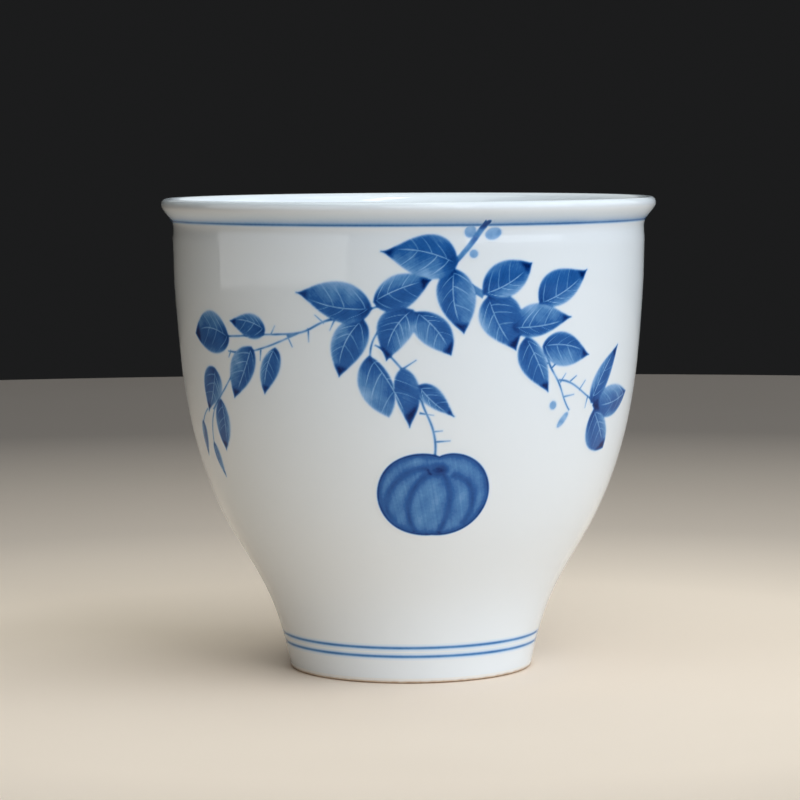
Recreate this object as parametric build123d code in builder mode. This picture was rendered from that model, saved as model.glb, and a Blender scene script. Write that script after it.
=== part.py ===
from build123d import *
import os
from math import cos, degrees, radians, sin

# A blue and white porcelain teacup, in millimetres. The origin is the centre of the circle that
# the foot rests on, +Z is up and the painted side faces -Y. Angles run around the cup from the
# middle of the painted side, positive to the right of someone who faces it.

# Driving dimensions of the cup
cup_height = 63.0
lip_radius = 33.0  # widest point, on the outside of the everted lip
lip_top_radius = 32.3
neck_radius = 31.5  # where the wall meets the underside of the lip
neck_height = 59.7
foot_radius = 16.2  # outer edge of the circle that the cup stands on
foot_rim_width = 2.0
bare_foot_height = 0.7  # strip of the foot that is wiped clean of glaze before firing
wall_thickness = 2.2
floor_thickness = 3.0
recess_depth = 4.6  # hollow inside the foot
glaze_thickness = 0.3
paint_thickness = 0.06

# Driving dimensions of the cobalt lines around the cup
rim_band_height = 60.1
upper_foot_band_height = 4.9
lower_foot_band_height = 3.7
band_width = 0.4

# Driving dimensions of the painted fruit
fruit_angle = 6.3
fruit_height = 26.05
fruit_half_width = 7.1
fruit_half_tall = 5.4
fruit_line = 0.32
stalk_angle = 6.0  # where the stalk meets the fruit
stalk_height = 30.4
fruit_ribs = [  # right of and above the fruit's middle, from the calyx down
    [(-0.8, 3.4), (-5.0, 1.4), (-6.0, -0.8), (-5.0, -3.6)],
    [(-0.5, 2.8), (-2.5, 0.8), (-3.2, -1.7), (-2.3, -4.8)],
    [(0.9, 2.8), (2.0, 0.3), (1.9, -2.2), (0.9, -5.0)],
    [(2.3, 2.5), (4.7, 0.8), (5.1, -1.1), (4.0, -3.9)],
]

# Outside of the cup from the foot to the neck, as (radius, height)
outer_wall = [
    (foot_radius, 0.0),
    (17.25, 4.6),
    (19.3, 10.3),
    (24.8, 20.2),
    (28.4, 29.6),
    (30.35, 39.5),
    (31.25, 50.0),
    (neck_radius, neck_height),
]

# Worked out from the dimensions above
floor_top = recess_depth + floor_thickness
porcelain_recess = recess_depth + glaze_thickness
recess_radius = foot_radius - foot_rim_width - 1.0  # the recess narrows upwards
foot_inner_radius = foot_radius - foot_rim_width
far = 2 * cup_height  # beyond the cup in any direction
brush_reach = 8.0  # depth of the painting strokes before they are cut to the glaze


def wall_radius(height):
    """Radius of the glazed outside at a height, straight between the points of outer_wall."""
    for (low_radius, low), (high_radius, high) in zip(outer_wall, outer_wall[1:]):
        if height <= high:
            return low_radius + (high_radius - low_radius) * (height - low) / (high - low)
    return neck_radius


# ---- Sections, drawn in the upright plane through the axis ----

# The glazed surface in lengths that meet smoothly, from the foot over the lip to the floor inside
wall = Spline(*outer_wall, tangents=[(0.18, 1), (0.01, 1)])
lip_under = Bezier(
    (neck_radius, neck_height),
    (neck_radius + 0.05, neck_height + 0.6),
    (lip_radius - 0.22, cup_height - 1.8),
    (lip_radius - 0.02, cup_height - 1.0),
)
lip_over = Bezier(
    (lip_radius - 0.02, cup_height - 1.0),
    (lip_radius + 0.07, cup_height - 0.55),
    (lip_radius - 0.15, cup_height),
    (lip_top_radius, cup_height),
)
lip_inside = Bezier(
    (lip_top_radius, cup_height),
    (lip_top_radius - 0.8, cup_height - 0.02),
    (lip_top_radius - 1.7, cup_height - 1.0),
    (lip_top_radius - 2.3, cup_height - 2.6),
)
bowl = Spline(
    (lip_top_radius - 2.3, cup_height - 2.6),
    *[(r - wall_thickness, h) for r, h in reversed(outer_wall[3:-1])],
    (16.8, 12.4),
    (8.5, 8.5),
    (0, floor_top),
    tangents=[(-0.5, -1.6), (-1, 0)],
)
surface = [wall, lip_under, lip_over, lip_inside, bowl]


def sunk(skin, depth):
    """The skin moved this far into the cup's wall, which is on its left."""
    under = []
    for curve in skin:
        places = []
        for i in range(9):
            ahead = curve % (i / 8)
            places.append(curve @ (i / 8) + Vector(-ahead.Y, ahead.X) * depth)
        if under:
            places[0] = under[-1] @ 1
        under.append(Spline(*places))
    return under


def closed_section(skin, underside):
    """A face between the curves of the skin and the corners of the underside."""
    with BuildSketch(Plane.XZ) as section:
        with BuildLine():
            add(skin)
            Polyline(skin[-1] @ 1, *underside, skin[0] @ 0)
        make_face()
    return section.sketch_local


# The whole cup cut through on one side of its axis, glaze and porcelain together
with BuildSketch(Plane.XZ) as cup_section:
    add(closed_section(surface, [(0, recess_depth), (recess_radius, recess_depth), (foot_inner_radius, 0)]))
    fillet(cup_section.vertices().group_by(Axis.Y)[0], radius=0.35)

# The porcelain alone, which comes to the surface only on the bare rim of the foot
porcelain_underside = [
    (0, porcelain_recess),
    (recess_radius + glaze_thickness, porcelain_recess),
    (foot_inner_radius + glaze_thickness, 0),
]
with BuildSketch(Plane.XZ) as porcelain_section:
    add(closed_section(sunk(surface, glaze_thickness), porcelain_underside))
    with Locations((0, bare_foot_height / 2)):
        Rectangle(far, far, align=(Align.MIN, Align.MIN), mode=Mode.INTERSECT)
    with BuildSketch(mode=Mode.PRIVATE) as bare_rim:
        add(cup_section.sketch_local)
        Rectangle(far, bare_foot_height, align=(Align.MIN, Align.MIN), mode=Mode.INTERSECT)
    add(bare_rim.sketch_local)

with BuildSketch(Plane.XZ) as glaze_section:
    add(cup_section.sketch_local)
    add(porcelain_section.sketch_local, mode=Mode.SUBTRACT)

# Everything outside the middle of the wall, which parts the outer coat from the inner one
with BuildSketch(Plane.XZ) as outer_side:
    with BuildLine():
        Polyline(
            (foot_radius - foot_rim_width / 2, -1),
            *[(r - wall_thickness / 2, h) for r, h in outer_wall],
            (lip_top_radius, cup_height - 1),
            (lip_top_radius, far),
            (far, far),
            (far, -1),
            close=True,
        )
    make_face()


# ---- The fired porcelain and its coats of glaze ----

with BuildPart() as porcelain_body:
    with BuildSketch(Plane.XZ):
        add(porcelain_section.sketch_local)
        Rectangle(far, porcelain_recess, align=(Align.MIN, Align.MIN), mode=Mode.SUBTRACT)
    revolve(axis=Axis.Z)

with BuildPart() as foot_ring:
    with BuildSketch(Plane.XZ):
        add(porcelain_section.sketch_local)
        Rectangle(far, porcelain_recess, align=(Align.MIN, Align.MIN), mode=Mode.INTERSECT)
    revolve(axis=Axis.Z)

with BuildPart() as outer_glaze:
    with BuildSketch(Plane.XZ):
        add(glaze_section.sketch_local)
        add(outer_side.sketch_local, mode=Mode.INTERSECT)
    revolve(axis=Axis.Z)

with BuildPart() as inner_glaze:
    with BuildSketch(Plane.XZ):
        add(glaze_section.sketch_local)
        add(outer_side.sketch_local, mode=Mode.SUBTRACT)
        Rectangle(far, recess_depth + floor_thickness / 2, align=(Align.MIN, Align.MIN), mode=Mode.SUBTRACT)
    revolve(axis=Axis.Z)

with BuildPart() as base_glaze:
    with BuildSketch(Plane.XZ):
        add(glaze_section.sketch_local)
        add(outer_side.sketch_local, mode=Mode.SUBTRACT)
        Rectangle(far, recess_depth + floor_thickness / 2, align=(Align.MIN, Align.MIN), mode=Mode.INTERSECT)
    revolve(axis=Axis.Z)


# ---- Cobalt painting, a thin skin on the wall from the foot to the lip ----

with BuildPart() as paint_skin:
    with BuildSketch(Plane.XZ):
        with BuildLine():
            glazed = [wall, lip_under]
            painted = [curve.moved(Location((paint_thickness, 0))) for curve in glazed]
            add(glazed)
            add(painted)
            Line(glazed[0] @ 0, painted[0] @ 0)
            Line(glazed[-1] @ 1, painted[-1] @ 1)
        make_face()
    revolve(axis=Axis.Z)


def painting_plane(angle, height):
    """Upright plane that faces the wall at a place of the painting, a little in front of it."""
    out = Vector(sin(radians(angle)), -cos(radians(angle)), 0)
    along = Vector(cos(radians(angle)), sin(radians(angle)), 0)
    distance = wall_radius(height) + brush_reach / 2
    return Plane(origin=out * distance + Vector(0, 0, height), x_dir=along, z_dir=out)


def on_plane(places, angle, height):
    """Places given as (angle, height), as points on the painting plane at angle and height."""
    radius = wall_radius(height)
    return [Vector(radius * sin(radians(a - angle)), h - height) for a, h in places]


def centre(places):
    """The middle of some places, as (angle, height)."""
    angles = [a for a, h in places]
    heights = [h for a, h in places]
    return (min(angles) + max(angles)) / 2, (min(heights) + max(heights)) / 2


def leaf(base, tip, left, right, left_belly=0.4, right_belly=0.4, point=0.2):
    """A leaf with a blunt base and a drawn-out tip. left and right are how far its sides swell
    from the midrib, looking from base to tip, each belly is how far along that happens, and
    point is how full the leaf still is just before its tip."""
    angle, height = centre([base, tip])
    start, end = on_plane([base, tip], angle, height)
    along = end - start
    across = Vector(-along.Y, along.X).normalized()
    with BuildSketch(painting_plane(angle, height)) as blade:
        with BuildLine():
            for swell, belly in ((left, left_belly), (-right, right_belly)):
                shift = belly - 0.4
                Bezier(
                    start,
                    start + along * max(0.04, shift) + across * (1.15 * swell),
                    start + along * (0.5 + shift) + across * (1.65 * swell),
                    start + along * (0.82 + shift / 2) + across * (point * swell),
                    end,
                )
        make_face()
    extrude(blade.sketch, amount=-brush_reach)


def stroke(places, start_width, end_width):
    """A brush line through places, going evenly from one width to the other."""
    angle, height = centre(places)
    points = on_plane(places, angle, height)
    last = len(points) - 1
    left_side = []
    right_side = []
    for i, point in enumerate(points):
        ahead = points[min(i + 1, last)] - points[max(i - 1, 0)]
        half_width = (start_width + (end_width - start_width) * i / last) / 2
        across = Vector(-ahead.Y, ahead.X).normalized() * half_width
        left_side.append(point + across)
        right_side.insert(0, point - across)
    with BuildSketch(painting_plane(angle, height)) as line:
        with BuildLine():
            for side in (left_side, right_side):
                if last > 1:
                    Spline(*side)
                else:
                    Line(*side)
            Line(left_side[-1], right_side[0])
            Line(right_side[-1], left_side[0])
        make_face()
    extrude(line.sketch, amount=-brush_reach)


def thorn(root, point):
    """A short spike that thins to nothing at its point."""
    stroke([root, point], 0.24, 0.06)


def dab(place, width, tall, turn=0):
    """An oval touch of the brush."""
    with BuildSketch(painting_plane(*place)) as touch:
        Ellipse(width / 2, tall / 2, rotation=turn)
    extrude(touch.sketch, amount=-brush_reach)


def band(height):
    """A ring of cobalt around the wall."""
    with BuildSketch(Plane.XZ) as cut:
        with Locations((wall_radius(height), height)):
            Rectangle(far / 20, band_width)
    revolve(cut.sketch, axis=Axis.Z)


with BuildPart() as right_spray_leaves:
    leaf((11.0, 55.2), (-6.3, 56.9), 2.45, 3.3, 0.45, 0.4, 0.0)
    leaf((17.2, 51.5), (29.4, 55.2), 2.4, 2.2, 0.5, 0.6)
    leaf((24.8, 47.2), (41.3, 48.2), 2.6, 1.7, point=0.1)
    leaf((33.0, 44.6), (48.2, 43.2), 2.3, 2.1, 0.45, 0.5, 0.1)
    leaf((51.0, 36.9), (61.2, 44.1), 1.9, 1.3)
    leaf((52.4, 35.9), (61.0, 30.6), 1.5, 2.8, 0.6, 0.5, 0.6)
    add(paint_skin.part, mode=Mode.INTERSECT)

with BuildPart() as right_spray_under_leaves:
    leaf((9.6, 54.7), (12.7, 46.6), 2.4, 2.4, 0.5, 0.45, 0.3)
    leaf((18.8, 51.3), (25.7, 44.3), 2.9, 2.8, left_belly=0.5)
    leaf((31.8, 49.9), (46.1, 54.1), 3.0, 1.9, 0.4, 0.6, 0.0)
    leaf((28.2, 45.8), (35.4, 38.8), 1.5, 2.3, 0.5, 0.4)
    leaf((51.8, 36.5), (70.2, 37.7), 1.9, 2.4, 0.5, 0.6)
    add(paint_skin.part, mode=Mode.INTERSECT)
    add(right_spray_leaves.part, mode=Mode.SUBTRACT)

with BuildPart() as centre_spray_leaves:
    leaf((-8.6, 49.8), (-26.8, 51.7), 2.6, 2.65, 0.4, 0.5, 0.0)
    leaf((0.9, 49.6), (-5.3, 43.3), 1.35, 3.2, 0.4, 0.5)
    leaf((-9.4, 43.8), (-5.0, 36.1), 1.7, 2.4, 0.6, 0.5, 0.5)
    leaf((-1.4, 42.3), (0.0, 34.8), 1.75, 1.45, left_belly=0.5, point=0.1)
    add(paint_skin.part, mode=Mode.INTERSECT)
    add(right_spray_leaves.part, mode=Mode.SUBTRACT)
    add(right_spray_under_leaves.part, mode=Mode.SUBTRACT)

with BuildPart() as centre_spray_under_leaves:
    leaf((-8.1, 50.6), (5.0, 53.3), 2.2, 2.2, 0.55, 0.45)
    leaf((-11.3, 48.7), (-16.7, 41.2), 2.0, 2.5, 0.4, 0.55)
    leaf((1.5, 49.3), (9.7, 43.9), 2.2, 1.8, 0.6, 0.4, 0.3)
    leaf((1.7, 39.9), (10.7, 36.1), 1.5, 1.0, point=0.1)
    add(paint_skin.part, mode=Mode.INTERSECT)
    add(centre_spray_leaves.part, mode=Mode.SUBTRACT)
    add(right_spray_leaves.part, mode=Mode.SUBTRACT)
    add(right_spray_under_leaves.part, mode=Mode.SUBTRACT)

with BuildPart() as left_spray_leaves:
    leaf((-48.0, 45.5), (-63.4, 45.8), 2.0, 3.1, 0.4, 0.5, 0.6)
    leaf((-35.9, 46.8), (-47.2, 47.8), 1.5, 1.7)
    leaf((-40.4, 44.6), (-47.9, 37.9), 1.75, 2.4, 0.45, 0.55)
    leaf((-33.2, 44.6), (-37.3, 38.7), 1.4, 1.5, right_belly=0.6)
    leaf((-54.9, 41.5), (-60.8, 35.7), 2.4, 2.2, 0.35, 0.45, 0.0)
    leaf((-53.8, 37.5), (-55.6, 30.8), 1.7, 1.6, 0.55, 0.55, 0.1)
    leaf((-65.9, 34.2), (-68.0, 29.6), 0.9, 0.8)
    leaf((-61.7, 31.5), (-59.9, 27.1), 0.7, 0.8)
    add(paint_skin.part, mode=Mode.INTERSECT)


def on_fruit(x, y):
    """The place of the painting that lies this far right of and above the fruit's middle."""
    return fruit_angle + degrees(x / wall_radius(fruit_height)), fruit_height + y


def fruit_face(inset):
    """The fruit's outline, a squashed ball with a notch for the stalk, this far inside its edge."""
    wide = fruit_half_width - inset
    tall = fruit_half_tall - inset
    notch = (0.08 * wide, 0.92 * tall)
    foot = (0, -tall)
    left_side = [(-0.29, 0.99), (-0.83, 0.68), (-1, 0.0), (-0.71, -0.74), (-0.3, -0.98)]
    right_side = [(0.41, 0.98), (0.84, 0.68), (1, 0.0), (0.69, -0.74), (0.3, -0.98)]
    with BuildSketch(painting_plane(fruit_angle, fruit_height)) as face:
        with BuildLine():
            for side in (left_side, right_side):
                Spline(notch, *[(x * wide, y * tall) for x, y in side], foot)
        make_face()
    return face.sketch


with BuildPart() as fruit_lines:
    extrude(fruit_face(0), amount=-brush_reach)
    extrude(fruit_face(fruit_line), amount=-brush_reach, mode=Mode.SUBTRACT)
    for rib in fruit_ribs:
        stroke([on_fruit(x, y) for x, y in rib], 0.4, 0.3)
    dab(on_fruit(0.4, 3.2), 2.4, 1.5)  # the calyx under the stalk
    add(paint_skin.part, mode=Mode.INTERSECT)

with BuildPart() as fruit_wash:
    extrude(fruit_face(0), amount=-brush_reach)
    add(paint_skin.part, mode=Mode.INTERSECT)
    add(fruit_lines.part, mode=Mode.SUBTRACT)

with BuildPart() as vine_stems:
    stroke([(10.4, 55.4), (14.3, 57.8), (18.0, 60.5)], 0.6, 0.75)  # twig that crosses the rim band
    stroke([(13.2, 52.7), (17.4, 51.3)], 0.8, 0.9)
    stroke([(34.3, 44.1), (36.1, 41.6), (38.5, 39.9), (40.3, 38.1), (42.8, 36.2)], 0.3, 0.2)
    stroke([(38.3, 40.2), (42.1, 39.8), (45.9, 38.8), (50.6, 37.4)], 0.25, 0.18)
    stroke([(-9.6, 49.6), (-6.9, 50.1), (-4.0, 50.8)], 0.25, 0.2)
    stroke([(-7.0, 47.0), (-8.7, 45.3), (-9.1, 43.4)], 0.2, 0.25)
    stroke([(-8.0, 45.2), (-5.4, 44.3), (-3.2, 43.1), (-1.1, 41.8)], 0.2, 0.3)
    stroke([(2.6, 38.6), (3.9, 36.7), (5.2, 35.2), (6.1, 33.5), (stalk_angle, stalk_height)], 0.25, 0.3)
    stroke([(-16.5, 48.4), (-20.4, 48.0), (-24.6, 46.9), (-30.0, 46.4), (-37.5, 46.2)], 0.3, 0.2)
    stroke([(-36.0, 46.3), (-42.0, 46.0), (-48.6, 45.8)], 0.2, 0.2)
    stroke([(-26.4, 46.6), (-32.9, 45.2), (-40.1, 44.1), (-48.6, 43.9)], 0.22, 0.18)
    stroke([(-47.3, 41.2), (-50.0, 39.7), (-53.5, 38.0), (-58.3, 36.0)], 0.18, 0.2)
    stroke([(-56.4, 36.7), (-59.6, 34.6), (-61.7, 31.3)], 0.2, 0.2)
    stroke([(-61.3, 36.0), (-64.1, 35.0), (-66.2, 33.8)], 0.18, 0.2)
    dab((17.9, 60.3), 1.1, 0.6, 35)
    thorn((35.2, 42.4), (33.6, 42.6))
    thorn((36.0, 41.8), (37.6, 42.5))
    thorn((39.0, 39.9), (40.6, 41.0))
    thorn((42.2, 39.9), (44.3, 40.6))
    thorn((45.7, 38.7), (47.7, 39.9))
    thorn((49.3, 37.9), (48.7, 36.3))
    thorn((40.6, 38.0), (44.0, 38.2))
    thorn((2.4, 36.6), (5.8, 36.3))
    thorn((5.6, 34.2), (8.0, 34.3))
    thorn((6.2, 32.9), (10.0, 33.0))
    thorn((-1.6, 42.2), (1.6, 43.3))
    thorn((-20.0, 47.9), (-22.2, 48.9))
    thorn((-17.4, 48.3), (-18.6, 47.0))
    thorn((-24.0, 47.2), (-24.0, 45.5))
    thorn((-29.8, 46.4), (-28.4, 44.8))
    thorn((-34.2, 46.3), (-33.0, 47.4))
    thorn((-37.5, 44.3), (-37.9, 42.9))
    thorn((-47.6, 44.0), (-48.6, 43.1))
    add(paint_skin.part, mode=Mode.INTERSECT)
    for painted in (
        right_spray_leaves,
        right_spray_under_leaves,
        centre_spray_leaves,
        centre_spray_under_leaves,
        left_spray_leaves,
        fruit_lines,
        fruit_wash,
    ):
        add(painted.part, mode=Mode.SUBTRACT)

with BuildPart() as pale_buds:
    dab((14.1, 59.3), 1.4, 1.6, -30)
    dab((19.6, 59.0), 2.2, 1.5, 15)
    dab((14.9, 56.5), 1.1, 1.0)
    dab((37.3, 37.0), 1.1, 1.1)
    dab((41.0, 35.0), 0.9, 2.4, -40)
    add(paint_skin.part, mode=Mode.INTERSECT)
    add(vine_stems.part, mode=Mode.SUBTRACT)

with BuildPart() as rim_band:
    band(rim_band_height)
    add(paint_skin.part, mode=Mode.INTERSECT)
    add(vine_stems.part, mode=Mode.SUBTRACT)
    add(pale_buds.part, mode=Mode.SUBTRACT)

with BuildPart() as upper_foot_band:
    band(upper_foot_band_height)
    add(paint_skin.part, mode=Mode.INTERSECT)

with BuildPart() as lower_foot_band:
    band(lower_foot_band_height)
    add(paint_skin.part, mode=Mode.INTERSECT)

painting = {
    "right_spray_leaves": right_spray_leaves,
    "right_spray_under_leaves": right_spray_under_leaves,
    "centre_spray_leaves": centre_spray_leaves,
    "centre_spray_under_leaves": centre_spray_under_leaves,
    "left_spray_leaves": left_spray_leaves,
    "vine_stems": vine_stems,
    "pale_buds": pale_buds,
    "fruit_lines": fruit_lines,
    "fruit_wash": fruit_wash,
    "rim_band": rim_band,
    "upper_foot_band": upper_foot_band,
    "lower_foot_band": lower_foot_band,
}

pieces = {
    "porcelain_body": porcelain_body,
    "foot_ring": foot_ring,
    "outer_glaze": outer_glaze,
    "inner_glaze": inner_glaze,
    "base_glaze": base_glaze,
    **painting,
}

os.makedirs("parts", exist_ok=True)
for name, piece in pieces.items():
    piece.part.label = name
    export_step(piece.part, f"parts/{name}.step")
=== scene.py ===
import math

import bpy
import numpy as np
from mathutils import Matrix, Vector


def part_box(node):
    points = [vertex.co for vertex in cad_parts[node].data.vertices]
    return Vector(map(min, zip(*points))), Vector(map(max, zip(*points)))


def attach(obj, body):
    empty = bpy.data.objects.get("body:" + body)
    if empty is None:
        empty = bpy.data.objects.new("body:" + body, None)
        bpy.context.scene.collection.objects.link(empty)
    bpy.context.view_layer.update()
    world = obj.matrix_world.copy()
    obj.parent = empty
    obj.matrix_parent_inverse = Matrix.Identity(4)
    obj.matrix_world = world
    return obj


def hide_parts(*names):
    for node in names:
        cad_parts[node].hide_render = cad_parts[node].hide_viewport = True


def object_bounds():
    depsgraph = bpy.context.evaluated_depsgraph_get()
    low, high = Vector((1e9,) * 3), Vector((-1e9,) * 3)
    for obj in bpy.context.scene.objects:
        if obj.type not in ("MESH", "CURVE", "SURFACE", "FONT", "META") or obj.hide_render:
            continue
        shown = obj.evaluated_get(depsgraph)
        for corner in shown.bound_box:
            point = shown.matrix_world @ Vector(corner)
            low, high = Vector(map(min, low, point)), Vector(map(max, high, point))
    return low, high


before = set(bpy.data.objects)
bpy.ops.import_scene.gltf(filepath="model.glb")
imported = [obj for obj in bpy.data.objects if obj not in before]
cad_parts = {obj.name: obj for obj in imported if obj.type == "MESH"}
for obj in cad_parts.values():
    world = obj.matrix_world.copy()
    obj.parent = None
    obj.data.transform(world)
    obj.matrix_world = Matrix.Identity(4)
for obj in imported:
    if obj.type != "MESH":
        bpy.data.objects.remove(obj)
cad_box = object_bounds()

# A blue and white porcelain teacup, in metres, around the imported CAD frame. The turned surfaces and
# the outlines of the painting are read from the CAD nodes. Places of the painting are given as a
# turn around the cup from the middle of the painted side, positive to the right, and a height.

MM = 0.001
SAME_PLACE = 0.001 * MM  # places that are closer than this are one place
TURN_STEPS = 192  # steps around the cup
TURNS = np.arange(TURN_STEPS) * 2 * math.pi / TURN_STEPS
LIP_DEPTH = 4 * MM  # what lies less than this below the cup's top belongs to the lip
WALL_SPACING = 1.5 * MM  # between the places that the wall's section is drawn through
LIP_SPACING = 0.25 * MM  # and between the lip's
WALL_STEP = 0.8 * MM  # between the rings of the wall
LIP_STEP = 0.12 * MM  # and between those of the lip, which is tightly curved
GLAZE_DEPTH = 0.3 * MM
BACK_EVERY = 4  # the hidden back of a glaze coat has only every fourth ring
PAINT_LIFT = 0.010 * MM  # the bands stand this far in front of the glaze
NEXT_LIFT = 0.0004 * MM  # one step more for each motif, so that no two wafers share a surface
FIRST_MOTIF_STEP = 5  # the steps that the lowest motif is in front of the bands
PAINT_SINK = 0.04 * MM  # every wafer reaches this far into the glaze
SOFT_EDGE = 0.34  # room in mm around a brush stroke for its soft edge
FAR_OFF = 9  # distances in mm from an outline aren't told apart beyond this one


# ---- Reading the CAD nodes ----


def node_arrays(name):
    """Places, triangles and triangle normals of a CAD node, with equal places made one."""
    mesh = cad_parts[name].data
    mesh.calc_loop_triangles()
    places = np.empty(len(mesh.vertices) * 3)
    mesh.vertices.foreach_get("co", places)
    places = places.reshape(-1, 3)
    corners = np.empty(len(mesh.loop_triangles) * 3, dtype=np.int32)
    mesh.loop_triangles.foreach_get("vertices", corners)
    keys = np.round(places / SAME_PLACE).astype(np.int64)
    first, same = np.unique(keys, axis=0, return_index=True, return_inverse=True)[1:]
    places = places[first]
    triangles = same.reshape(-1)[corners].reshape(-1, 3)
    a, b, c = (places[triangles[:, k]] for k in range(3))
    normals = np.cross(b - a, c - a)
    size = np.linalg.norm(normals, axis=1)
    real = size > 0
    return places, triangles[real], normals[real] / size[real, None]


def outward(places, triangles, normals):
    """How far each triangle's normal points away from the cup's axis."""
    middle = places[triangles].mean(axis=1)
    radius = np.maximum(np.hypot(middle[:, 0], middle[:, 1]), SAME_PLACE)
    return (normals[:, 0] * middle[:, 0] + normals[:, 1] * middle[:, 1]) / radius


AXIS_REACH = 0.05 * MM  # a place nearer the axis than this is on it
FACING = 0.02  # how much a triangle has to face the way that its skin does
SECTION_GRID = 0.01 * MM  # places of a section that are closer than this are one place


def walked(points, start):
    """The points in the order met when walking from the one at start to the nearest one left,
    ending on the axis if they reach it, with those that crowd the one before them left out."""
    left = list(range(len(points)))
    order = [left.pop(start)]
    while left:
        here = points[order[-1]]
        nearest = min(left, key=lambda i: np.hypot(*(points[i] - here)))
        left.remove(nearest)
        order.append(nearest)
    innermost = int(np.argmin(points[order, 0]))
    if points[order[innermost], 0] < AXIS_REACH:
        order = order[: innermost + 1]
    kept = [points[order[0]]]
    for i in order[1:-1]:
        spacing = LIP_SPACING if points[i][1] > lip_floor else WALL_SPACING
        if np.hypot(*(points[i] - kept[-1])) > spacing:
            kept.append(points[i])
    kept.append(points[order[-1]])
    return np.array(kept)


def skin_section(name, sign, start_high):
    """The section of a turned skin, as (radius, height), from the triangles of a node that face
    away from the axis (sign 1), or towards it and upwards (sign -1)."""
    places, triangles, normals = node_arrays(name)
    shown = outward(places, triangles, normals) * sign > FACING
    if sign < 0:
        shown |= normals[:, 2] > FACING
    used = np.unique(triangles[shown])
    flat = np.column_stack([np.hypot(places[used, 0], places[used, 1]), places[used, 2]])
    keys = np.round(flat / SECTION_GRID).astype(np.int64)
    flat = flat[np.unique(keys, axis=0, return_index=True)[1]]
    start = int(np.argmax(flat[:, 1] if start_high else -flat[:, 1]))
    return walked(flat, start)


# ---- Smooth curves ----


def spline_through(points):
    """A natural cubic spline through points, measured by the distance along their chords."""
    t = np.concatenate([[0], np.cumsum(np.hypot(*np.diff(points, axis=0).T))])
    gap = np.diff(t)
    count = len(t)
    matrix = np.eye(count)
    pull = np.zeros((count, 2))
    for i in range(1, count - 1):
        matrix[i, i - 1 : i + 2] = gap[i - 1], 2 * (gap[i - 1] + gap[i]), gap[i]
        pull[i] = 6 * ((points[i + 1] - points[i]) / gap[i] - (points[i] - points[i - 1]) / gap[i - 1])
    return t, points, np.linalg.solve(matrix, pull)


def along(spline, s):
    """Points and unit directions of the spline at distances s."""
    t, points, bend = spline
    i = np.clip(np.searchsorted(t, s) - 1, 0, len(t) - 2)
    gap = (t[i + 1] - t[i])[:, None]
    after = (s - t[i])[:, None]
    before = gap - after
    start = points[i] / gap - bend[i] * gap / 6
    end = points[i + 1] / gap - bend[i + 1] * gap / 6
    place = (bend[i] * before**3 + bend[i + 1] * after**3) / (6 * gap) + start * before + end * after
    slope = (bend[i + 1] * after**2 - bend[i] * before**2) / (2 * gap) - start + end
    return place, slope / np.linalg.norm(slope, axis=1)[:, None]


def sampled(spline):
    """Points and directions along the spline, close together on the lip."""
    total = spline[0][-1]
    steps = [0.0]
    while steps[-1] < total:
        height = along(spline, np.array(steps[-1:]))[0][0, 1]
        steps.append(steps[-1] + (LIP_STEP if height > lip_floor else WALL_STEP))
    steps[-1] = total
    return along(spline, np.array(steps))


# ---- Turned pieces ----


def ring_of(away, up):
    """The same step away from the axis and up, at every turn around the cup."""
    return np.column_stack([away * np.sin(TURNS), -away * np.cos(TURNS), np.full(TURN_STEPS, up)])


def turned(name, skin, directions, from_axis=False):
    """A closed coat of glaze: the skin and, a glaze's depth behind it, its back."""
    left = np.column_stack([-directions[:, 1], directions[:, 0]])
    back = (skin + left * GLAZE_DEPTH)[::-BACK_EVERY]
    if from_axis:
        skin = skin.copy()
        skin[-1, 0] = 0
        back[0, 0] = 0
    rings = np.vstack([skin, back])
    index = []
    places = []
    for radius, height in rings:
        if radius < SAME_PLACE:
            index.append(np.full(TURN_STEPS, len(places)))
            places.append((0, 0, height))
        else:
            index.append(len(places) + np.arange(TURN_STEPS))
            places.extend(ring_of(radius, height).tolist())
    faces = []
    maps = []
    skin_face = []
    for i in range(len(rings)):
        low, high = index[i], index[(i + 1) % len(rings)]
        for j in range(TURN_STEPS):
            k = (j + 1) % TURN_STEPS
            face = [low[j], low[k], high[k], high[j]]
            spot = [(j, i), (j + 1, i), (j + 1, i + 1), (j, i + 1)]
            keep = [n for n in range(4) if face[n] != face[n - 1]]
            if len(keep) > 2:
                faces.append([int(face[n]) for n in keep])
                maps.append([(spot[n][0] / TURN_STEPS, spot[n][1] / len(rings)) for n in keep])
                skin_face.append(i < len(skin) - 1)
    mesh = bpy.data.meshes.new(name)
    mesh.from_pydata(places, [], faces)
    layer = mesh.uv_layers.new(name="OFBake")
    layer.data.foreach_set("uv", np.array([uv for spots in maps for uv in spots]).ravel())
    smooth_skin(mesh, skin, left, skin_face, index)
    return shown_piece(name, mesh)


def smooth_skin(mesh, skin, left, skin_face, index):
    """Gives the skin the normals of its curve, so that it meets its neighbour without a crease."""
    out = np.zeros((len(mesh.vertices), 3))
    for i in range(len(skin)):
        away, up = -left[i]
        out[index[i]] = ring_of(away, up)
        if skin[i, 0] == 0:
            out[index[i]] = (0, 0, 1)
    mesh.update()
    normals = []
    for face, on_skin in zip(mesh.polygons, skin_face):
        for v in face.vertices:
            normals.append(out[v] if on_skin else face.normal)
    mesh.polygons.foreach_set("use_smooth", np.ones(len(mesh.polygons), dtype=bool))
    mesh.normals_split_custom_set(normals)


def shown_piece(name, mesh):
    """A new object with this mesh, which moves with the cup."""
    piece = bpy.data.objects.new(name, mesh)
    bpy.context.scene.collection.objects.link(piece)
    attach(piece, "root")
    return piece


# ---- The painting's outlines, from the CAD nodes ----

OUTER_SHARE = 0.3  # the front of a painted solid is what stands out more than this share of it
OUTWARD_ENOUGH = 0.3  # and faces outward at least this much


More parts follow.
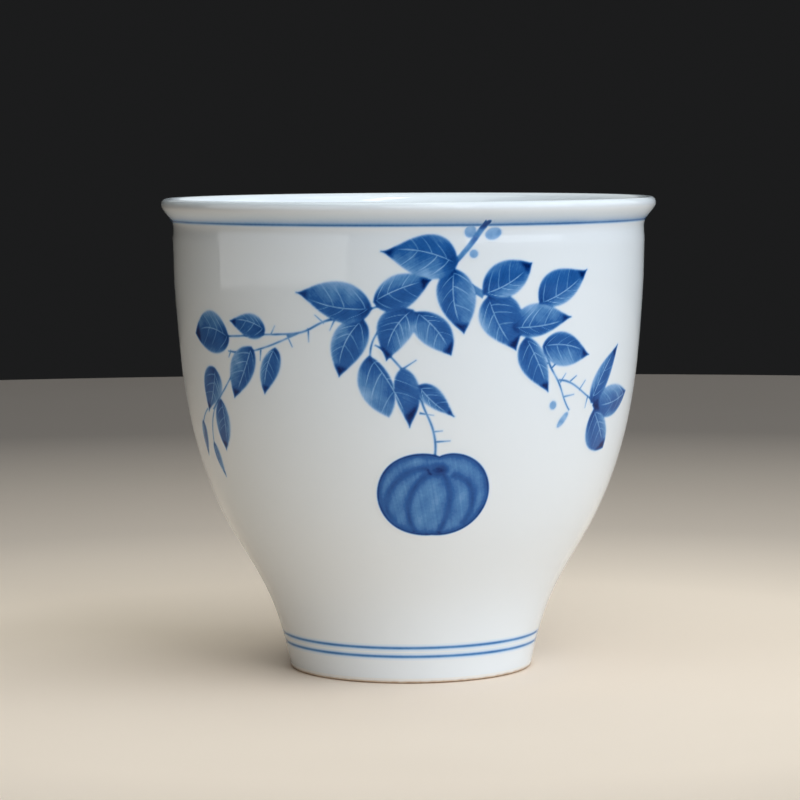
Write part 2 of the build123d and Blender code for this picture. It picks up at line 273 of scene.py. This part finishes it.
def islands(name):
    """The outlines of a painted node's separate solids. Each is a list of loops of (turn, height)
    places, taken from the edges of its outward faces."""
    places, triangles, normals = node_arrays(name)
    radius = np.hypot(places[:, 0], places[:, 1])
    turn = np.arctan2(places[:, 0], -places[:, 1])
    skin = np.interp(places[:, 2], wall[:, 1], wall[:, 0])
    proud = radius - skin
    front = (proud > OUTER_SHARE * proud.max())[triangles].all(axis=1)
    front &= outward(places, triangles, normals) > OUTWARD_ENOUGH
    edges = {}
    for triangle in triangles[front]:
        for k in range(3):
            edges[(triangle[k], triangle[(k + 1) % 3])] = True
    follow = {a: b for a, b in edges if (b, a) not in edges}
    group = {}

    def root(v):
        while group.setdefault(v, v) != v:
            v = group[v]
        return v

    for a, b in edges:
        group[root(a)] = root(b)
    found = {}
    while follow:
        start, here = follow.popitem()
        loop = [start]
        while here != start and here in follow:
            loop.append(here)
            here = follow.pop(here)
        if len(loop) > 3:
            spots = np.column_stack([turn[loop], places[loop, 2] / MM])
            found.setdefault(root(start), []).append(spots)
    return list(found.values())


NO_LENGTH = 1e-12  # squared, in mm


def signed_distance(points, loops):
    """Distance in mm from the outlines, negative inside them."""
    nearest = np.full(len(points), np.inf)
    inside = np.zeros(len(points), dtype=bool)
    x, y = points.T
    for loop in loops:
        for (ax, ay), (bx, by) in zip(loop, np.roll(loop, -1, axis=0)):
            dx, dy = bx - ax, by - ay
            size = dx * dx + dy * dy
            if size < NO_LENGTH:
                continue
            t = np.clip(((x - ax) * dx + (y - ay) * dy) / size, 0, 1)
            nearest = np.minimum(nearest, (x - ax - t * dx) ** 2 + (y - ay - t * dy) ** 2)
            if dy:
                crosses = ((ay > y) != (by > y)) & (x < ax + (y - ay) * dx / dy)
                inside ^= crosses
    nearest = np.minimum(np.sqrt(nearest), FAR_OFF)
    return np.where(inside, -nearest, nearest)


NEARBY = 1  # mm around a motif's box


class Motif:
    """One brush-painted shape: its outline laid flat, in mm, around its own middle."""

    def __init__(self, kind, loops, number):
        spots = np.vstack(loops)
        self.kind = kind
        self.number = number
        self.turn = (spots[:, 0].min() + spots[:, 0].max()) / 2
        self.height = (spots[:, 1].min() + spots[:, 1].max()) / 2
        self.radius = np.interp(self.height * MM, wall[:, 1], wall[:, 0]) / MM
        self.loops = [self.flat(loop) for loop in loops]
        laid = np.vstack(self.loops)
        self.low = laid.min(axis=0)
        self.high = laid.max(axis=0)

    def flat(self, spots):
        """(turn, height in mm) places as mm to the right of and above the motif's middle."""
        return np.column_stack([(spots[:, 0] - self.turn) * self.radius, spots[:, 1] - self.height])

    def near(self, flat):
        """Which of these places its cobalt could reach."""
        return ((flat > self.low - NEARBY) & (flat < self.high + NEARBY)).all(axis=1)


# ---- How much cobalt lies where, from 0 for none to 1 for the darkest ----
#
# A stroke's ink is a wash of an even strength with lighter and darker additions, all on that same
# scale from 0 to 1. Lengths are in mm. Along a leaf, 0 is its base and 1 its tip.


WAVE_SIZES = (0.6, 1.0, 1.37, 2.1)  # of the waves in a ripple, next to its own size
CLOUD_WAVES = 6


def ripple(x, size, seed):
    """Uneven waves along x of about this size, between -1 and 1."""
    random = np.random.RandomState(seed)
    waves = 0
    for share in WAVE_SIZES:
        waves = waves + np.sin(x * 2 * math.pi / (size * share) + random.uniform(0, 7))
    return waves / len(WAVE_SIZES)


def clouds(x, y, size, seed):
    """Uneven patches of about this size, between -1 and 1."""
    random = np.random.RandomState(seed)
    total = 0
    for _ in range(CLOUD_WAVES):
        angle = random.uniform(0, 2 * math.pi)
        wave = 2 * math.pi / (size * random.uniform(0.7, 1.5))
        total = total + np.sin(wave * (x * math.cos(angle) + y * math.sin(angle)) + random.uniform(0, 7))
    return total / CLOUD_WAVES


def step(low, high, x):
    """A smooth change from 0 where x is at low to 1 where it is at high."""
    t = np.clip((x - low) / (high - low), 0, 1)
    return t * t * (3 - 2 * t)


def soft(distance, softness):
    """1 inside an outline and 0 outside it, with a soft change across it."""
    return 1 / (1 + np.exp(distance / softness))


def cover(distance, softness):
    """The same, with a faint bleed beyond."""
    bleed = 0.05 * np.exp(-np.maximum(distance, 0) / 0.2) * (distance > 0)
    return soft(distance, softness) + bleed


def line(distance, half_width):
    """1 on a thin line, fading out on both sides of it."""
    return np.exp(-((distance / half_width) ** 2))


KINDS = {
    "right_spray_leaves": "leaf",
    "right_spray_under_leaves": "leaf",
    "centre_spray_leaves": "leaf",
    "centre_spray_under_leaves": "leaf",
    "left_spray_leaves": "leaf",
    "vine_stems": "line",
    "pale_buds": "bud",
    "fruit_lines": "fruit_line",
    "fruit_wash": "fruit_wash",
}
WASHES = {  # the strength of each kind's wash, how much it varies, and over about what length
    "leaf": (0.57, 0.09, 2.6),
    "line": (0.50, 0.22, 2.0),
    "bud": (0.34, 0.10, 1.5),
    "fruit_line": (0.66, 0.14, 3.0),
    "fruit_wash": (0.47, 0.07, 2.6),
}
SOFTNESS = {"leaf": 0.07, "line": 0.05, "bud": 0.08, "fruit_line": 0.09, "fruit_wash": 0.09}


def wash(kind, x, y, seed):
    """The strength of a kind's wash at these places."""
    strength, variation, length = WASHES[kind]
    return strength + variation * clouds(x, y, length, seed)


LEAF_ENDS = (0.06, 0.80)  # where the widths of a leaf's ends are compared
END_SHARE = 0.14  # of a leaf's length, over which each is measured


def leaf_axis(motif):
    """Base and tip of a leaf: its two farthest places, the base being the blunter end."""
    loop = max(motif.loops, key=len)
    gaps = np.hypot(*(loop[:, None] - loop[None]).transpose(2, 0, 1))
    a, b = np.unravel_index(np.argmax(gaps), gaps.shape)
    ends = loop[a], loop[b]
    length = gaps[a, b]
    way = (ends[1] - ends[0]) / length
    s = (loop - ends[0]) @ way / length
    c = (loop - ends[0]) @ np.array([-way[1], way[0]])
    widths = [np.ptp(c[(s > start) & (s < start + END_SHARE)]) for start in LEAF_ENDS]
    if widths[0] < widths[1]:
        ends = ends[::-1]
    return ends[0], ends[1], length


MIDRIB_OFFSET = 0.6  # how far the midrib goes to the middle of a lopsided leaf
MIDRIB_BOW = (0.04, 0.09)  # least and most further bow, as a share of the leaf's length
LEAST_HALF = 0.3  # mm that a leaf reaches at least to either side of its midrib
BASE_DAB = 0.22  # darker where the brush was set down
DAB_LENGTH = 0.16
DAB_WIDTH = 0.6  # as a share of the half leaf
SIDE_CONTRAST = 0.09  # one half of a leaf is darker and the other paler by this much
SIDE_BLEND = 0.35
MIDRIB_SHADE = 0.07
SHADE_WIDTH = 0.3
PALE_MARGIN = 0.13
DARK_TIP = 0.36
TIP_FROM, TIP_FULL = 0.80, 0.89
TIP_SLANT = 0.05  # the tip's dark is longer on the darker side
BRUSH_STREAK = 0.045
STREAK_SIZE = 0.30
MIDRIB_WIDTH = 0.075
SIDE_VEIN_WIDTH = 0.06
SIDE_VEINS = ((0.10, 0.85), (0.30, 0.73), (0.50, 0.61))  # where a pair leaves the midrib, its strength
VEIN_START_SPREAD = 0.05
VEIN_REACH, VEIN_REACH_SPREAD = 0.30, 0.06  # how far along the leaf a side vein goes
VEIN_CURVE = 1.4
VEIN_PALENESS = 0.55
FULL_WIDTH = 2.5  # the side veins of leaves narrower than this are fainter
PALEST = 0.3


def leaf_ink(motif, flat, distance):
    """A leaf washed from a dark base out to a dark tip, with its veins scratched out pale. Its
    midrib is bowed, and s is the place along it, off the distance from it, far that as a share."""
    base, tip, length = leaf_axis(motif)
    way = (tip - base) / length
    side = np.array([-way[1], way[0]])
    s = (flat - base) @ way / length
    c = (flat - base) @ side
    laid = (np.vstack(motif.loops) - base) @ side
    random = np.random.RandomState(motif.number)
    dark_side = random.choice([-1, 1])
    middle = (laid.min() + laid.max()) / 2
    bow = MIDRIB_OFFSET * middle + random.choice([-1, 1]) * random.uniform(*MIDRIB_BOW) * length
    off = c - bow * np.sin(math.pi * np.clip(s, 0, 1)) ** 0.8
    half = np.maximum(np.where(off > 0, laid.max() - bow, bow - laid.min()), LEAST_HALF)
    far = np.abs(off) / half
    tone = wash(motif.kind, flat[:, 0], flat[:, 1], motif.number)
    tone += BASE_DAB * line(np.maximum(s, 0), DAB_LENGTH) * line(off, DAB_WIDTH * half)
    tone += SIDE_CONTRAST * dark_side * np.tanh(off / (SIDE_BLEND * half))
    tone += MIDRIB_SHADE * np.exp(-far / SHADE_WIDTH)
    tone -= PALE_MARGIN * step(0.45, 1.0, far) * step(0.9, 0.6, s)
    tone += DARK_TIP * step(TIP_FROM, TIP_FULL, s + TIP_SLANT * dark_side * off / half)
    across_hairs = s * length * 0.70 - np.abs(off) * 0.9
    fading = 1 + 0.6 * ripple(off, 1.3, motif.number)
    tone += BRUSH_STREAK * ripple(across_hairs, STREAK_SIZE, motif.number + 50) * fading
    vein = line(off, MIDRIB_WIDTH) * step(0.02, 0.12, s) * step(0.86, 0.66, s)
    full = min(1.0, np.ptp(laid) / FULL_WIDTH)
    for root, strength in SIDE_VEINS:
        for way_out in (-1, 1):
            starts = root + VEIN_START_SPREAD * random.uniform(-1, 1)
            reach = VEIN_REACH + VEIN_REACH_SPREAD * random.uniform(-1, 1)
            miss = (s - starts - reach * far**VEIN_CURVE) * length * 0.72
            there = (off * way_out > 0) * step(0.85, 0.5, far) * full
            vein = np.maximum(vein, strength * line(miss, SIDE_VEIN_WIDTH) * there)
    return cover(distance, SOFTNESS[motif.kind]) * np.clip(tone, PALEST, 1) * (1 - VEIN_PALENESS * vein)


TWIG_END = 0.35  # darker within about a millimetre of the painting's top


def line_ink(motif, flat, distance):
    """Thin strokes of uneven strength, and the dark end of the twig over the rim band."""
    tone = wash(motif.kind, flat[:, 0], flat[:, 1], motif.number)
    below_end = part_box("vine_stems")[1][2] / MM - motif.height - flat[:, 1]
    tone += TWIG_END * step(1.3, 0.7, below_end)
    return cover(distance, SOFTNESS[motif.kind]) * tone


BUD_EDGE = 0.14  # darker where the wash dried last


def bud_ink(motif, flat, distance):
    """A pale touch of the brush."""
    tone = wash(motif.kind, flat[:, 0], flat[:, 1], motif.number)
    tone += BUD_EDGE * np.exp(distance / 0.10) * (distance < 0)
    return cover(distance, SOFTNESS[motif.kind]) * tone


RIND_LINE = 0.50
RIND_LINE_WIDTH = 0.10
RIND_SOFTNESS = 0.05


def fruit_line_ink(motif, flat, distance):
    """Ribs and a calyx that run softly into the wash, and a thin dark edge around the rind."""
    tone = wash(motif.kind, flat[:, 0], flat[:, 1], motif.number)
    tone += 0.08 * step(0, 0.2, -distance) + 0.12 * step(0.25, 0.6, -distance)
    ribs = tone * soft(distance, SOFTNESS[motif.kind])
    if len(motif.loops) == 1:
        return ribs
    rind = signed_distance(flat, [max(motif.loops, key=np.ptp)])
    edge = RIND_LINE * line(np.minimum(rind + 0.06, 0), RIND_LINE_WIDTH)
    return cover(rind, RIND_SOFTNESS) * (ribs + edge)


LOBE_EDGE = 0.20  # darker beside the ribs, fading over
LOBE_FADE = 0.45
LOBE_OVERLAP = 0.02


def fruit_wash_ink(motif, flat, distance):
    """The lobes of the fruit, each paler in the middle than beside its ribs."""
    x, y = flat[:, 0] + motif.turn * motif.radius, flat[:, 1] + motif.height
    tone = wash(motif.kind, x, y, 7)
    tone += LOBE_EDGE * np.exp(-np.maximum(-distance, 0) / LOBE_FADE)
    tone += 0.03 * ripple(x + 0.2 * y, 0.45, 8)
    return tone * soft(distance - LOBE_OVERLAP, SOFTNESS[motif.kind])


INKS = {
    "leaf": leaf_ink,
    "line": line_ink,
    "bud": bud_ink,
    "fruit_line": fruit_line_ink,
    "fruit_wash": fruit_wash_ink,
}


BANDS = ("rim_band", "upper_foot_band", "lower_foot_band")
BAND_SWAY = 0.03  # how far in mm a band strays up and down
BAND_UNEVENNESS = 0.10
RIM_INK, RIM_WIDTH = 0.22, 0.17
RUN_INK = 0.38
RUN_FADE, RUN_SINK = 0.65, 0.12  # over how many mm the run fades upwards and downwards
RUN_END, RUN_WHOLE = 2.1, 1.2  # nothing has run higher than the first, and all is left below the second
FOOT_INK, FOOT_WIDTH = 0.44, 0.19
HALO_INK, HALO_WIDTH = 0.09, 0.6


def band_ink(name, turn, height):
    """A brush line held against the turning cup. The one at the rim has run upwards."""
    low, high = (corner[2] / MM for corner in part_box(name))
    middle = (low + high) / 2 + BAND_SWAY * np.sin(turn * 2 + low)
    above = height - middle
    strength = 1 + BAND_UNEVENNESS * ripple(turn * 20, 9, 3)
    if name == "rim_band":
        run = RUN_INK * np.where(above > 0, np.exp(-above / RUN_FADE), np.exp(above / RUN_SINK))
        stroke = RIM_INK * line(above + 0.04, RIM_WIDTH)
        return strength * (stroke + run) * step(RUN_END, RUN_WHOLE, above)
    return strength * (FOOT_INK * line(above, FOOT_WIDTH) + HALO_INK * line(above, HALO_WIDTH))


def pigment(turn, height):
    """How much cobalt there is at places given as turn and height in mm."""
    spots = np.column_stack([turn, height])
    ink = np.zeros(len(spots))
    bands = sum(band_ink(name, turn, height) for name in BANDS)
    for motif in motifs:
        flat = motif.flat(spots)
        near = motif.near(flat)
        if near.any():
            distance = signed_distance(flat[near], motif.loops)
            ink[near] += INKS[motif.kind](motif, flat[near], distance)
    return np.clip(np.maximum(ink, bands), 0, 1)


# ---- Patches of painted glaze ----

CELLS = {"leaf": 0.10, "line": 0.07, "bud": 0.10, "fruit_line": 0.09, "fruit_wash": 0.09}  # in mm
BAND_CELL = 0.05  # height in mm of a band's mesh cells
BAND_ROOM = {"rim_band": 1.9}  # room in mm above a band whose cobalt has run upwards


def on_wall(turn, height, lift):
    """Places in front of the wall at turns and heights in mm, and the wall's normals there."""
    radius = np.interp(height * MM, wall[:, 1], wall[:, 0])
    lean = np.interp(height * MM, wall[:, 1], np.arctan2(-wall_ways[:, 0], wall_ways[:, 1]))
    away = radius + lift * np.cos(lean)
    up = height * MM + lift * np.sin(lean)
    places = np.column_stack([away * np.sin(turn), -away * np.cos(turn), up])
    normals = np.column_stack([np.cos(lean) * np.sin(turn), -np.cos(lean) * np.cos(turn), np.sin(lean)])
    return places, normals


def patch(turns, heights, keep, lift):
    """A closed wafer of the wall over the kept cells of a grid of turns and heights: the turns and
    heights of its places, its faces, how many of them are its front, and how far out that is."""
    across = len(turns)
    row, column = np.nonzero(keep)
    corner = row * across + column
    quads = np.column_stack([corner, corner + 1, corner + across + 1, corner + across])
    used, small = np.unique(quads, return_inverse=True)
    quads = small.reshape(-1, 4)
    turn = turns[used % across]
    height = heights[used // across]
    directed = {}
    for k in range(4):
        for a, b in zip(quads[:, k], quads[:, (k + 1) % 4]):
            directed[(int(a), int(b))] = True
    rim = [(a, b) for a, b in directed if (b, a) not in directed]
    count = len(used)
    walls = np.array([(b, a, a + count, b + count) for a, b in rim]).reshape(-1, 4)
    faces = np.vstack([quads, quads[:, ::-1] + count, walls])
    return turn, height, faces, len(quads), lift


FRONT_SHARE = 0.98  # how much of its map's height the painted front takes
BACK_SPOT = (0.0, 0.995)  # and where on the map everything behind it is


def painted_piece(name, patches):
    """One piece from several wafers, with the cobalt at each of its places."""
    places = []
    normals = []
    faces = []
    tops = []
    spots = []
    offset = 0
    for turn, height, quads, front_count, lift in patches:
        front, out = on_wall(turn, height, lift)
        back = on_wall(turn, height, -PAINT_SINK)[0]
        places += [front, back]
        normals += [out, -out]
        faces.append(quads + offset)
        tops.append(np.arange(len(quads)) < front_count)
        spots += 2 * [np.column_stack([turn, height])]
        offset += 2 * len(turn)
    places = np.vstack(places)
    normals = np.vstack(normals)
    faces = np.vstack(faces)
    tops = np.concatenate(tops)
    spots = np.vstack(spots)
    mesh = bpy.data.meshes.new(name)
    mesh.from_pydata(places.tolist(), [], faces.tolist())
    ink = pigment(spots[:, 0], spots[:, 1])
    mesh.attributes.new("pigment", "FLOAT", "POINT").data.foreach_set("value", ink)
    low, high = spots.min(axis=0), spots.max(axis=0)
    flat = (spots - low) / (high - low)
    layer = mesh.uv_layers.new(name="OFBake")
    uv = flat[faces]
    uv[:, :, 1] *= FRONT_SHARE
    uv[~tops] = BACK_SPOT
    layer.data.foreach_set("uv", uv.ravel())
    mesh.polygons.foreach_set("use_smooth", np.ones(len(faces), dtype=bool))
    mesh.update()
    mesh.normals_split_custom_set(normals[faces].reshape(-1, 3).tolist())
    return shown_piece(name, mesh)


def motif_patch(motif):
    """The wafer around one motif."""
    cell = CELLS[motif.kind]
    low = motif.low - SOFT_EDGE - 2 * cell
    high = motif.high + SOFT_EDGE + 2 * cell
    x = np.arange(low[0], high[0], cell)
    y = np.arange(low[1], high[1], cell)
    grid = np.column_stack([np.tile(x, len(y)), np.repeat(y, len(x))])
    near = (signed_distance(grid, motif.loops) < SOFT_EDGE).reshape(len(y), len(x))
    keep = near[:-1, :-1] | near[1:, :-1] | near[:-1, 1:] | near[1:, 1:]
    lift = PAINT_LIFT + (FIRST_MOTIF_STEP + motif.number) * NEXT_LIFT
    return patch(motif.turn + x / motif.radius, motif.height + y, keep, lift)


def band_patch(name):
    """The wafer around a whole band."""
    low, high = (corner[2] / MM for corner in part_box(name))
    turns = np.linspace(-math.pi, math.pi, 2 * TURN_STEPS + 1)
    room = BAND_ROOM.get(name, SOFT_EDGE)
    heights = np.arange(low - SOFT_EDGE, high + room, BAND_CELL)
    keep = np.ones((len(heights) - 1, len(turns) - 1), dtype=bool)
    return patch(turns, heights, keep, PAINT_LIFT)


# ---- Materials ----


def new_material(name):
    """A material, its nodes, their links and its surface."""
    material = bpy.data.materials.new(name)
    material.use_nodes = True
    nodes = material.node_tree.nodes
    return material, nodes, material.node_tree.links, nodes["Principled BSDF"]


def noise(nodes, links, scale, detail, coordinates):
    """Soft unevenness, scale lumps to the metre."""
    texture = nodes.new("ShaderNodeTexNoise")
    texture.inputs["Scale"].default_value = scale
    texture.inputs["Detail"].default_value = detail
    links.new(coordinates, texture.inputs["Vector"])
    return texture.outputs["Fac"]


def ramp(nodes, links, fac, stops):
    """Colours for values, from pairs of a value and its colour."""
    made = nodes.new("ShaderNodeValToRGB")
    made.color_ramp.elements[0].position = stops[0][0]
    made.color_ramp.elements[0].color = (*stops[0][1], 1)
    made.color_ramp.elements[1].position = stops[-1][0]
    made.color_ramp.elements[1].color = (*stops[-1][1], 1)
    for position, colour in stops[1:-1]:
        made.color_ramp.elements.new(position).color = (*colour, 1)
    links.new(fac, made.inputs["Fac"])
    return made.outputs["Color"]


def maths(nodes, links, operation, *values):
    """One step of arithmetic on numbers and sockets."""
    node = nodes.new("ShaderNodeMath")
    node.operation = operation
    for socket, value in zip(node.inputs, values):
        if isinstance(value, (int, float)):
            socket.default_value = value
        else:
            links.new(value, socket)
    return node.outputs[0]


def bumped(nodes, links, surface, height, strength):
    """A surface with fine lumps of this height on it."""
    bump = nodes.new("ShaderNodeBump")
    bump.inputs["Strength"].default_value = strength
    bump.inputs["Distance"].default_value = BUMP_HEIGHT
    links.new(height, bump.inputs["Height"])
    links.new(bump.outputs["Normal"], surface.inputs["Normal"])


BUMP_HEIGHT = 0.02 * MM
GLAZE_IOR = 1.5
MATT = 0.7  # roughness of the bare porcelain and the floor
WHITE = (0.80, 0.835, 0.86)
COBALT = (  # by how much of it there is
    (0.00, WHITE),
    (0.08, (0.68, 0.77, 0.86)),
    (0.30, (0.24, 0.43, 0.70)),
    (0.46, (0.080, 0.235, 0.50)),
    (0.60, (0.019, 0.114, 0.361)),
    (0.76, (0.009, 0.070, 0.265)),
    (0.90, (0.003, 0.032, 0.170)),
    (1.00, (0.0008, 0.0137, 0.091)),
)
COBALT_GRAIN = 0.22  # how much the grain of the wash changes its strength
COBALT_LEAST = 0.89  # of its strength, where the grain is palest
GLAZE_MIRROR = 0.5
COBALT_DULLING = -0.30  # the glaze mirrors less over the darkest cobalt
GLAZE_ROUGHNESS = ((0.3, (0.05, 0.05, 0.05)), (0.7, (0.09, 0.09, 0.09)))
BISCUIT = (  # by the height above the foot's lowest edge in mm
    (0.22, (0.33, 0.20, 0.11)),
    (0.40, (0.62, 0.50, 0.38)),
    (0.62, (0.78, 0.77, 0.74)),
)
BROWN_WANDER = 0.3 * MM  # how far the browned edge wanders up and down
FLOOR_TINT = ((0.3, (0.90, 0.745, 0.60)), (0.7, (0.93, 0.775, 0.63)))
# painted shade on the floor: how much its colour is darkened, standing in for light falling off
FLOOR_PAINTED_SHADE = (  # by the distance from the cup in metres
    (0.08, (1.0, 1.0, 1.0)),
    (0.15, (0.62, 0.62, 0.63)),
    (0.34, (0.20, 0.20, 0.21)),
)


def glaze_material(name):
    """Clear glaze over white porcelain and over whatever cobalt lies under it."""
    material, nodes, links, surface = new_material(name)
    where = nodes.new("ShaderNodeTexCoord").outputs["Object"]
    ink = nodes.new("ShaderNodeAttribute")
    ink.attribute_name = "pigment"
    grain = noise(nodes, links, 2600, 3, where)
    uneven = maths(nodes, links, "MULTIPLY_ADD", grain, COBALT_GRAIN, COBALT_LEAST)
    amount = maths(nodes, links, "MULTIPLY", ink.outputs["Fac"], uneven)
    links.new(ramp(nodes, links, amount, COBALT), surface.inputs["Base Color"])
    mirror = maths(nodes, links, "MULTIPLY_ADD", amount, COBALT_DULLING, GLAZE_MIRROR)
    links.new(mirror, surface.inputs["Specular IOR Level"])
    patchy = noise(nodes, links, 130, 4, where)
    links.new(ramp(nodes, links, patchy, GLAZE_ROUGHNESS), surface.inputs["Roughness"])
    surface.inputs["IOR"].default_value = GLAZE_IOR
    bumped(nodes, links, surface, noise(nodes, links, 420, 2, where), 0.05)
    return material


def biscuit_material():
    """Bare fired porcelain: matt, nearly white, and browned where it stood on the kiln's shelf."""
    material, nodes, links, surface = new_material("bare porcelain")
    where = nodes.new("ShaderNodeTexCoord").outputs["Object"]
    parts = nodes.new("ShaderNodeSeparateXYZ")
    links.new(where, parts.inputs["Vector"])
    grain = noise(nodes, links, 900, 8, where)
    height = maths(nodes, links, "MULTIPLY_ADD", grain, BROWN_WANDER, parts.outputs["Z"])
    above = maths(nodes, links, "MULTIPLY", height, 1 / MM)
    links.new(ramp(nodes, links, above, BISCUIT), surface.inputs["Base Color"])
    surface.inputs["Roughness"].default_value = MATT
    bumped(nodes, links, surface, noise(nodes, links, 5000, 4, where), 0.3)
    return material


def table_material():
    """A plain pale floor with a barely uneven surface, with shade painted into its colour that darkens it
    away from the cup.
    """
    material, nodes, links, surface = new_material("pale floor")
    where = nodes.new("ShaderNodeTexCoord").outputs["Object"]
    cloudy = noise(nodes, links, 9, 3, where)
    tint = ramp(nodes, links, cloudy, FLOOR_TINT)
    reach = nodes.new("ShaderNodeVectorMath")
    reach.operation = "LENGTH"
    links.new(where, reach.inputs[0])
    # painted shade: the floor's colour is darkened with the distance from the cup
    shade = ramp(nodes, links, reach.outputs["Value"], FLOOR_PAINTED_SHADE)
    tint_in_painted_shade = nodes.new("ShaderNodeVectorMath")
    tint_in_painted_shade.operation = "MULTIPLY"
    links.new(tint, tint_in_painted_shade.inputs[0])
    links.new(shade, tint_in_painted_shade.inputs[1])
    links.new(tint_in_painted_shade.outputs["Vector"], surface.inputs["Base Color"])
    surface.inputs["Roughness"].default_value = MATT
    return material


# ---- Building the cup ----

cup_top = cad_box[1][2]
lip_floor = cup_top - LIP_DEPTH

outer_skin, outer_ways = sampled(spline_through(skin_section("outer_glaze", 1, False)))
inner_skin, inner_ways = sampled(spline_through(skin_section("inner_glaze", -1, True)))
widest = int(np.argmax(outer_skin[:, 0]))
wall = outer_skin[:widest]  # the outside of the cup up to its widest place, which rises all the way
wall_ways = outer_ways[:widest]

motifs = []
motifs_of = {}
for node, kind in KINDS.items():
    motifs_of[node] = [Motif(kind, loops, len(motifs) + n) for n, loops in enumerate(islands(node))]
    motifs += motifs_of[node]

outer_glaze = turned("glazed_outside", outer_skin, outer_ways)
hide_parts("outer_glaze")
inner_glaze = turned("glazed_inside", inner_skin, inner_ways, from_axis=True)
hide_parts("inner_glaze")
painted = {}
for node in KINDS:
    painted[node] = painted_piece("painted_" + node, [motif_patch(motif) for motif in motifs_of[node]])
for node in BANDS:
    painted[node] = painted_piece("painted_" + node, [band_patch(node)])
for node, piece in painted.items():
    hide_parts(node)

# ---- Finishes ----

glaze = glaze_material("clear glaze")
for piece in (outer_glaze, inner_glaze):
    piece.data.materials.append(glaze)
cobalt_glaze = glaze_material("glaze over cobalt")
for node, piece in painted.items():
    piece.data.materials.append(cobalt_glaze)
biscuit = biscuit_material()
for node, finish in (("porcelain_body", biscuit), ("foot_ring", biscuit), ("base_glaze", glaze)):
    for material_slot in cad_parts[node].material_slots:
        material_slot.link = "OBJECT"
        material_slot.material = finish

# ---- Floor ----

FLOOR_RADIUS = 0.52
FLOOR_STEPS = 256
floor_turns = np.arange(FLOOR_STEPS) * 2 * math.pi / FLOOR_STEPS
floor_rim = FLOOR_RADIUS * np.column_stack([np.cos(floor_turns), np.sin(floor_turns), np.zeros(FLOOR_STEPS)])
floor_mesh = bpy.data.meshes.new("floor")
floor_mesh.from_pydata(floor_rim.tolist(), [], [list(range(FLOOR_STEPS))])
floor = bpy.data.objects.new("floor", floor_mesh)
bpy.context.scene.collection.objects.link(floor)
floor.data.materials.append(table_material())

# ---- Light ----

# Every light is a panel turned to the middle of the cup. Its place is how far it is to the right of
# the camera as seen from the cup, how high above the floor, both in degrees, and how far away in
# metres. Then come its width and height in metres, its watts and its colour.
LIGHTS = {
    "key window": ((52, 33, 1.15), (1.3, 1.3), 9.8, (0.90, 1.0, 1.14)),
    "overhead panel": ((0, 86, 1.1), (1.0, 1.0), 4.9, (0.94, 1.0, 0.96)),
    "back right panel": ((110, 30, 1.15), (1.0, 1.0), 3.0, (0.93, 1.0, 0.99)),
    "back panel": ((180, 38, 1.2), (1.0, 1.0), 1.9, (0.96, 1.0, 1.0)),
    "front panel": ((9, 27, 1.15), (0.8, 0.8), 4.0, (0.94, 1.0, 1.03)),
    "left window": ((-66, 12, 1.1), (1.7, 0.8), 4.6, (1.0, 1.0, 1.0)),
    "small skylight": ((38, 78, 1.05), (0.12, 0.35), 0.8, (1.0, 1.0, 1.0)),
}
ONLY_MIRRORED = ("left window", "small skylight")  # these are seen in the glaze and light nothing


def around(azimuth, elevation, distance):
    """A place seen from the cup at this angle to the right of the camera and above the floor."""
    a, e = math.radians(azimuth), math.radians(elevation)
    return (
        distance * math.cos(e) * math.sin(a),
        -distance * math.cos(e) * math.cos(a),
        cup_top / 2 + distance * math.sin(e),
    )


def area_light(name, place, size, power, colour):
    """A panel of light turned to the middle of the cup."""
    lamp = bpy.data.lights.new(name, "AREA")
    lamp.shape = "RECTANGLE"
    lamp.size, lamp.size_y = size
    lamp.energy = power
    lamp.color = colour
    light = bpy.data.objects.new(name, lamp)
    bpy.context.scene.collection.objects.link(light)
    light.location = place
    light.visible_diffuse = name not in ONLY_MIRRORED
    way = np.array((0, 0, cup_top / 2)) - np.array(place)
    down = math.acos(-way[2] / np.linalg.norm(way))
    light.rotation_euler = (down, 0, math.atan2(way[0], -way[1]) + math.pi)


for name, (place, size, power, colour) in LIGHTS.items():
    area_light(name, around(*place), size, power, colour)

DARK_ROOM = (0.95, 0.97, 1.0, 1)
DARK_ROOM_STRENGTH = 0.012
world = bpy.data.worlds.new("studio")
bpy.context.scene.world = world
world.use_nodes = True
backdrop = world.node_tree.nodes["Background"]
backdrop.inputs["Color"].default_value = DARK_ROOM
backdrop.inputs["Strength"].default_value = DARK_ROOM_STRENGTH
bpy.context.scene.view_settings.view_transform = "Standard"

# ---- Camera ----

CAMERA_DISTANCE = 0.4226  # in front of the cup's axis, in metres like its height
CAMERA_HEIGHT = 0.0711
CAMERA_DROOP = 4.78  # degrees below level
CAMERA_ROLL = -0.31
LENS = 141.9
SENSOR_WIDTH = 36
SHIFT = -0.0119  # of the picture's width, for the cup stands a little to the right of its middle
camera_data = bpy.data.cameras.new("camera")
camera_data.sensor_width = SENSOR_WIDTH
camera_data.lens = LENS
camera_data.shift_x = SHIFT
camera = bpy.data.objects.new("camera", camera_data)
bpy.context.scene.collection.objects.link(camera)
camera.location = (0, -CAMERA_DISTANCE, CAMERA_HEIGHT)
camera.rotation_euler = (math.radians(90 - CAMERA_DROOP), 0, 0)
camera.rotation_euler.rotate_axis("Z", math.radians(CAMERA_ROLL))
bpy.context.scene.camera = camera
